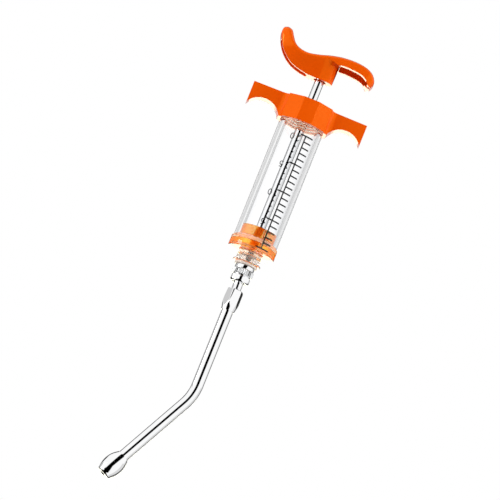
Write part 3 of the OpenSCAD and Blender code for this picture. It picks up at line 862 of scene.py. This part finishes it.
def nozzle_bulb():
    """Olive tip on the tube's end."""
    rise = bulb_r - bulb_start_r
    arc_r = (bulb_peak ** 2 + rise ** 2) / (2 * rise)
    seat = bulb_len - bulb_set
    quarter = [pi / 2 * k / bulb_turn_steps for k in range(bulb_turn_steps + 1)]

    def bulge(up):
        """Radius of the olive at a height above its end."""
        off = up - (bulb_len - bulb_peak)
        return bulb_r - arc_r + (arc_r ** 2 - off ** 2) ** 0.5

    rows = rounded([(outlet_r, seat / 2), (outlet_r, seat), (tube_r, seat), (tube_r, bulb_len),
                    (tube_r + bulb_top_step, bulb_len)], socket_round)
    top_up = bulb_len - bulb_shoulder
    for a in quarter:
        in_by = bulb_shoulder * (1 - sin(a))
        down_by = bulb_shoulder * (1 - cos(a))
        rows.append((bulge(top_up) - in_by, bulb_len - down_by))
    for k in range(1, bulb_arc_steps):
        up = top_up + (bulb_end_round - top_up) * k / bulb_arc_steps
        rows.append((bulge(up), up))
    for a in quarter:
        in_by = bulb_end_round * (1 - cos(a))
        rows.append((bulge(bulb_end_round) - in_by, bulb_end_round * (1 - sin(a))))
    rows += rounded([(outlet_r + 2 * edge, 0.0), (outlet_r + edge, 0.0), (outlet_r, edge),
                     (outlet_r, 2 * edge)], outlet_round)
    points, faces = turned(rows, fitting_sides, True)
    place = leg_frame() @ Matrix.Translation((0, 0, -tube_lower_len - bulb_len))
    points = [place @ Vector(point) for point in points]
    solid("olive_tip", (points, faces), chrome, "nozzle", "nozzle_bulb")


# Scale printed on the barrel, laid out by the way round the barrel (millimetres to the right of the
# front) and by level
scale_zero = floor_top
scale_step = 3.315
scale_count = 20
long_every = 5
line_w = 0.78
figure_w = 0.45
base_at = 4.2
short_end = 9.0
long_start = 1.0
digit_h = 3.1
digit_w = 1.8
digit_gap = 0.9
tens_at = 0.55
units_at = -2.75
five_at = -0.4
ink_rise = 0.04
ink_sink = 0.02
ink_gap = 0.01
line_steps = 10
corner_least = 0.4
corner_most = 2
digit_strokes = {
    "0": [(0.5 + 0.5 * sin(2 * pi * k / 24), 0.5 - 0.5 * cos(2 * pi * k / 24)) for k in range(24)],
    "1": [(0.25, 0.78), (0.55, 1.0), (0.55, 0.0)],
    "2": [(0.5 + 0.48 * cos(radians(a)), 0.72 + 0.28 * sin(radians(a))) for a in range(165, -46, -15)]
         + [(0.0, 0.0), (1.0, 0.0)],
    "5": [(0.92, 1.0), (0.12, 1.0), (0.06, 0.56)]
         + [(0.46 + 0.5 * cos(radians(a)), 0.33 + 0.33 * sin(radians(a)))
            for a in range(110, -151, -15)]}


def printed(path, width, loop=False):
    """Thin closed slab of ink along a path on the barrel's outside."""
    rings = []
    count = len(path)
    for k, point in enumerate(path):
        here = Vector(point)
        before = Vector(path[k - 1]) if loop or k else here
        after = Vector(path[(k + 1) % count]) if loop or k < count - 1 else here
        into = (here - before).normalized() if before != here else (after - here).normalized()
        onward = (after - here).normalized() if after != here else into
        side = Vector((-into.y - onward.y, into.x + onward.x)).normalized()
        stretch = min(1 / max(side.dot(Vector((-into.y, into.x))), corner_least), corner_most)
        ring = []
        for way, radius in ((1, ink_rise), (-1, ink_rise), (-1, -ink_sink), (1, -ink_sink)):
            across, level = here + side * way * width / 2 * stretch
            angle = across / barrel_r
            r = barrel_r + radius
            ring.append((r * sin(angle), -r * cos(angle), level))
        rings.append(ring)
    return skin(rings, loop)


def straight(start, end):
    """Points along a straight line, close enough to follow the barrel's curve."""
    return [tuple(Vector(start).lerp(Vector(end), k / line_steps)) for k in range(line_steps + 1)]


def scale_print():
    """Lines and figures of the scale."""
    top = scale_zero + scale_step * scale_count
    lines = [printed(straight((base_at, scale_zero - line_w / 2), (base_at, top + line_w / 2)), line_w)]
    clear = base_at + line_w / 2 + ink_gap
    digits = []
    for mark in range(scale_count + 1):
        level = scale_zero + scale_step * mark
        lines.append(printed(straight((clear, level), (short_end, level)), line_w))
        if mark % long_every:
            continue
        lines.append(printed(straight((long_start, level), (2 * base_at - clear, level)), line_w))
        words = str(mark) if mark else ""
        places = [five_at] if len(words) == 1 else [tens_at, units_at]
        for figure, at in zip(words, places):
            path = [(at - (x - 0.5) * digit_w, level - digit_gap - y * digit_h)
                    for x, y in digit_strokes[figure]]
            digits.append(printed(path, figure_w, figure == "0"))
    piece("scale_lines", mesh_of("scale_lines", lines), ink, "barrel_unit")
    piece("scale_figures", mesh_of("scale_figures", digits), ink, "barrel_unit")


push_handle()
plunger_rod()
finger_grip_cap()
barrel()
piston()
neck_washer()
nozzle_connector()
lock_collar()
nozzle_hub()
nozzle_tube()
nozzle_bulb()
scale_print()

# The small inner pieces keep their CAD form
for node, material in (("handle_insert", brass), ("cap_washer", silicone), ("piston_washer", steel),
                       ("piston_nut", steel), ("collar_clip", steel), ("luer_seal", silicone)):
    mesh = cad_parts[node].data
    mesh.materials.clear()
    mesh.materials.append(material)


# Studio: a white tent with a dark card behind the camera, so that metal shows a black stripe between
# white sides. Levels are given by the bearing from the front, in degrees to the right, and heights by
# the upward share of a direction.

# Card: its height, its half width there, how its edge fades, how it leans, how it flares below a height,
# and where the tent starts behind the object
card_z = 0.216
card_half = 0.37
card_fade = (0.93 * card_half, 1.12 * card_half)
card_lean = -0.5
card_flare = 0.5
card_flare_z = (-1.0, -0.15)
behind_z = (-0.2, 0.2)
behind_lift = 1.05
behind_fade = (0.82, 0.92)

# Tent, as metal mirrors it: its levels in four rings, and the heights at which one gives way to the next
lower_ring = [
    (-180, 1.0), (-168, 1.0), (-162, 0.15), (-124, 0.15), (-114, 0.95), (-80, 1.0), (80, 1.0),
    (86, 0.72), (110, 0.72), (116, 0.9), (124, 0.15), (162, 0.15), (168, 1.0), (180, 1.0)]
level_ring = [
    (-180, 0.04), (-160, 0.2), (-140, 0.3), (-116, 0.55), (-92, 0.6), (-84, 1.0), (92, 1.0),
    (112, 0.8), (134, 0.3), (140, 0.03), (156, 0.03), (160, 0.2), (180, 0.04)]
upper_ring = [(-180, 0.03), (-128, 0.03), (-116, 1.0), (116, 1.0), (128, 0.03), (180, 0.03)]
top_ring = [(-180, 0.03), (-146, 0.03), (-136, 1.0), (136, 1.0), (146, 0.03), (180, 0.03)]
level_z = (0.13, 0.18)
upper_z = (0.26, 0.34)
top_z = (0.5, 0.6)
roof_z = (0.75, 0.85)

# What clear plastic shows: straight through it, after a bounce on a piece inside, and how bright metal
# inside it is. A ray that meets a piece inside passes four surfaces of the barrel.
left_wall = [(-180, 1.0), (-163.5, 1.0), (-161, 0.35), (-158.5, 0.82), (-150, 0.68), (-140, 0.72)]
right_wall = [(118, 0.74), (132, 0.66), (144, 0.74), (154, 0.92), (180, 1.0)]
clear_front = [
    (-128, 1.0), (-52, 1.0), (-40, 0.72), (-30, 0.68), (-21.5, 0.82), (-19, 0.35), (-16.5, 1.0),
    (16.5, 1.0), (19, 0.35), (21.5, 0.82), (30, 0.68), (40, 0.72), (52, 1.0)]
lens_front = [
    (-128, 1.05), (-104, 1.0), (-60, 2.4), (-27, 1.6), (-22, 0.0), (22, 0.0), (27, 1.6), (60, 2.4),
    (104, 1.0)]
clear_ring = left_wall + clear_front + right_wall
lens_ring = left_wall + lens_front + right_wall
inner_ring = [
    (-180, 1.0), (-132, 0.9), (-105, 1.18), (50, 1.18), (62, 0.9), (105, 0.85), (130, 1.0), (180, 1.0)]
barrel_walls = 3.5
any_bounce = 0.5

# Soft light on everything else, and how it fades towards the top
soft_ring = [
    (-180, 0.85), (-130, 1.2), (-85, 2.0), (-40, 1.4), (0, 0.95), (40, 1.4), (85, 2.0), (130, 1.2),
    (180, 0.85)]
soft_top_z = (0.15, 0.8)
soft_top_share = 0.8
soft_top_level = 0.35

# Floor: its level and half width, what it gives back to the object, and what clear plastic shows of it
# straight through and after a bounce on a piece inside
floor_level = -2300
floor_half = 9000
floor_bounce = 0.35
floor_through = 0.75
floor_inside = 2.8


def reckon(tree, operation, *values):
    """Result of a sum on numbers or sockets."""
    node = tree.nodes.new("ShaderNodeMath")
    node.operation = operation
    for socket, value in zip(node.inputs, values):
        if isinstance(value, float):
            socket.default_value = value
        else:
            tree.links.new(value, socket)
    return node.outputs["Value"]


def axes_of(tree, direction):
    """The three shares of a direction."""
    axes = tree.nodes.new("ShaderNodeSeparateXYZ")
    tree.links.new(direction, axes.inputs["Vector"])
    return [axes.outputs[name] for name in "XYZ"]


def ranged(tree, source, limits):
    """Share from 0 to 1 as a value climbs from a low limit to a high one."""
    node = tree.nodes.new("ShaderNodeMapRange")
    node.inputs["From Min"].default_value = limits[0]
    node.inputs["From Max"].default_value = limits[1]
    tree.links.new(source, node.inputs["Value"])
    return node.outputs["Result"]


def compass(tree, direction):
    """Share from 0 to 1 round the object of a direction, with the front at one half."""
    x, y, _ = axes_of(tree, direction)
    front = reckon(tree, "MULTIPLY", y, -1.0)
    return ranged(tree, reckon(tree, "ARCTAN2", x, front), (-pi, pi))


def around(tree, share, ring):
    """Grey level at a share round the object, from a ring of bearings and levels."""
    node = ramp(tree, [((bearing + 180) / 360, level) for bearing, level in ring])
    tree.links.new(share, node.inputs["Fac"])
    return node.outputs["Color"]


def mixed(tree, factor, first, second):
    """Second colour where the factor is 1, first where it is 0."""
    node = tree.nodes.new("ShaderNodeMix")
    node.data_type = "RGBA"
    tree.links.new(factor, node.inputs["Factor"])
    for socket, value in (("A", first), ("B", second)):
        target = [s for s in node.inputs if s.name == socket and s.type == "RGBA"][0]
        if isinstance(value, float):
            target.default_value = (value, value, value, 1.0)
        else:
            tree.links.new(value, target)
    return [s for s in node.outputs if s.type == "RGBA"][0]


def surroundings(tree, direction):
    """Grey level that metal mirrors from a direction: the tent with the dark card in it."""
    x, y, z = axes_of(tree, direction)
    share = compass(tree, direction)
    tent = around(tree, share, lower_ring)
    for ring, limits in ((level_ring, level_z), (upper_ring, upper_z), (top_ring, top_z)):
        tent = mixed(tree, ranged(tree, z, limits), tent, around(tree, share, ring))
    tent = mixed(tree, ranged(tree, z, roof_z), tent, 1.0)
    rise = reckon(tree, "SUBTRACT", z, card_z)
    across = reckon(tree, "ABSOLUTE", reckon(tree, "MULTIPLY_ADD", rise, card_lean, x))
    low = reckon(tree, "SUBTRACT", 1.0, ranged(tree, z, card_flare_z))
    across = reckon(tree, "MULTIPLY_ADD", low, -card_flare, across)
    beside = ranged(tree, across, card_fade)
    behind = reckon(tree, "MULTIPLY_ADD", ranged(tree, z, behind_z), behind_lift, y)
    shown = reckon(tree, "MAXIMUM", beside, ranged(tree, behind, behind_fade))
    return mixed(tree, shown, 0.0, tent)


def studio_world():
    """World with soft light for the object, the tent for metal and plain white for the camera."""
    world = bpy.data.worlds.new("studio")
    bpy.context.scene.world = world
    world.use_nodes = True
    tree = world.node_tree
    direction = tree.nodes.new("ShaderNodeTexCoord").outputs["Generated"]
    ray = tree.nodes.new("ShaderNodeLightPath").outputs
    share = compass(tree, direction)
    z = axes_of(tree, direction)[2]
    fade = reckon(tree, "MULTIPLY", ranged(tree, z, soft_top_z), soft_top_share)
    soft = mixed(tree, fade, around(tree, share, soft_ring), soft_top_level)
    metal = surroundings(tree, direction)
    mirrored = reckon(tree, "GREATER_THAN", ray["Glossy Depth"], any_bounce)
    within = reckon(tree, "GREATER_THAN", ray["Transmission Depth"], barrel_walls)
    bounces = reckon(tree, "ADD", ray["Diffuse Depth"], ray["Glossy Depth"])
    bounced = reckon(tree, "GREATER_THAN", bounces, any_bounce)
    through = mixed(tree, bounced, around(tree, share, clear_ring), around(tree, share, lens_ring))
    inner = reckon(tree, "MULTIPLY", metal, around(tree, share, inner_ring))
    through = mixed(tree, reckon(tree, "MULTIPLY", within, mirrored), through, inner)
    colour = mixed(tree, ray["Is Glossy Ray"], soft, metal)
    colour = mixed(tree, ray["Is Transmission Ray"], colour, through)
    colour = mixed(tree, ray["Is Camera Ray"], colour, 1.0)
    tree.links.new(colour, tree.nodes["Background"].inputs["Color"])


def studio_floor():
    """Pale floor that carries on the tent for metal and clear plastic."""
    points = [(way_x * floor_half, way_y * floor_half, floor_level)
              for way_x, way_y in ((-1, -1), (1, -1), (1, 1), (-1, 1))]
    mesh = mesh_of("floor", [(points, [(0, 1, 2, 3)])])
    pale = finish(
        "pale_floor", [(0.86, 0.86, 0.86), (0.88, 0.88, 0.88)], (0.6, 0.7), (4, 80), 0.05,
        {"IOR": 1.4})
    tree = pale.node_tree
    link = tree.links.new
    ray = tree.nodes.new("ShaderNodeLightPath").outputs
    place = tree.nodes.new("ShaderNodeTexCoord")
    towards = tree.nodes.new("ShaderNodeVectorMath")
    towards.operation = "NORMALIZE"
    link(place.outputs["Object"], towards.inputs[0])
    metal = surroundings(tree, towards.outputs["Vector"])
    shader = tree.nodes["Principled BSDF"]
    tint = shader.inputs["Base Color"].links[0].from_socket
    link(mixed(tree, ray["Is Diffuse Ray"], tint, floor_bounce), shader.inputs["Base Color"])
    bounced = reckon(tree, "GREATER_THAN", ray["Diffuse Depth"], any_bounce)
    through = mixed(tree, bounced, floor_through, floor_inside)
    white = tree.nodes.new("ShaderNodeEmission")
    link(mixed(tree, ray["Is Transmission Ray"], metal, through), white.inputs["Color"])
    shown = tree.nodes.new("ShaderNodeMixShader")
    link(reckon(tree, "MAXIMUM", ray["Is Glossy Ray"], ray["Is Transmission Ray"]), shown.inputs["Fac"])
    link(shader.outputs["BSDF"], shown.inputs[1])
    link(white.outputs["Emission"], shown.inputs[2])
    link(shown.outputs["Shader"], tree.nodes["Material Output"].inputs["Surface"])
    mesh.materials.append(pale)
    floor_obj = bpy.data.objects.new("floor", mesh)
    bpy.context.collection.objects.link(floor_obj)


# Lamps: how far they stand from the cap
lamp_distance = 1200


def studio_lamp(name, bearing, height, size, power, colour, mirrored):
    """Soft square lamp that faces the cap, at a bearing from the front and a height, in degrees."""
    turn = radians(bearing)
    rise = radians(height)
    away = Vector((sin(turn) * cos(rise), -cos(turn) * cos(rise), sin(rise)))
    data = bpy.data.lights.new(name, "AREA")
    data.size = size * MM
    data.energy = power
    data.color = colour
    lamp = bpy.data.objects.new(name, data)
    lamp.visible_camera = False
    lamp.visible_transmission = False
    lamp.visible_glossy = mirrored
    lamp.matrix_world = (Matrix.Translation(away * lamp_distance * MM)
                         @ away.to_track_quat("Z", "Y").to_matrix().to_4x4())
    bpy.context.collection.objects.link(lamp)


# Camera: below the object, looking up, rolled so that the syringe leans to the right
view_rise = 12.5
view_roll = 21.9
view_distance = 6000.0
view_target = Vector((-0.95, 0, -79.68))
view_width = 267.9
view_sensor = 36


def studio_camera():
    rise = radians(view_rise)
    roll = radians(view_roll)
    forward = Vector((0, cos(rise), sin(rise)))
    level_up = Vector((0, -sin(rise), cos(rise)))
    right = Vector((cos(roll), 0, 0)) + sin(roll) * level_up
    up = Vector((-sin(roll), 0, 0)) + cos(roll) * level_up
    data = bpy.data.cameras.new("camera")
    data.sensor_width = view_sensor
    data.lens = data.sensor_width * view_distance / view_width
    camera = bpy.data.objects.new("camera", data)
    turn = Matrix((right, up, -forward)).transposed().to_4x4()
    camera.matrix_world = Matrix.Translation((view_target - forward * view_distance) * MM) @ turn
    bpy.context.collection.objects.link(camera)
    bpy.context.scene.camera = camera


studio_world()
studio_floor()
studio_lamp("left_lamp", -72, -4, 500, 5, (1.0, 1.0, 1.0), True)
studio_lamp("right_lamp", 75, 5, 500, 5, (1.0, 1.0, 1.0), False)
studio_lamp("low_back_lamp", 180, -12.5, 600, 2.8, (1.0, 0.98, 0.74), True)
studio_camera()
bpy.context.scene.view_settings.view_transform = "Standard"
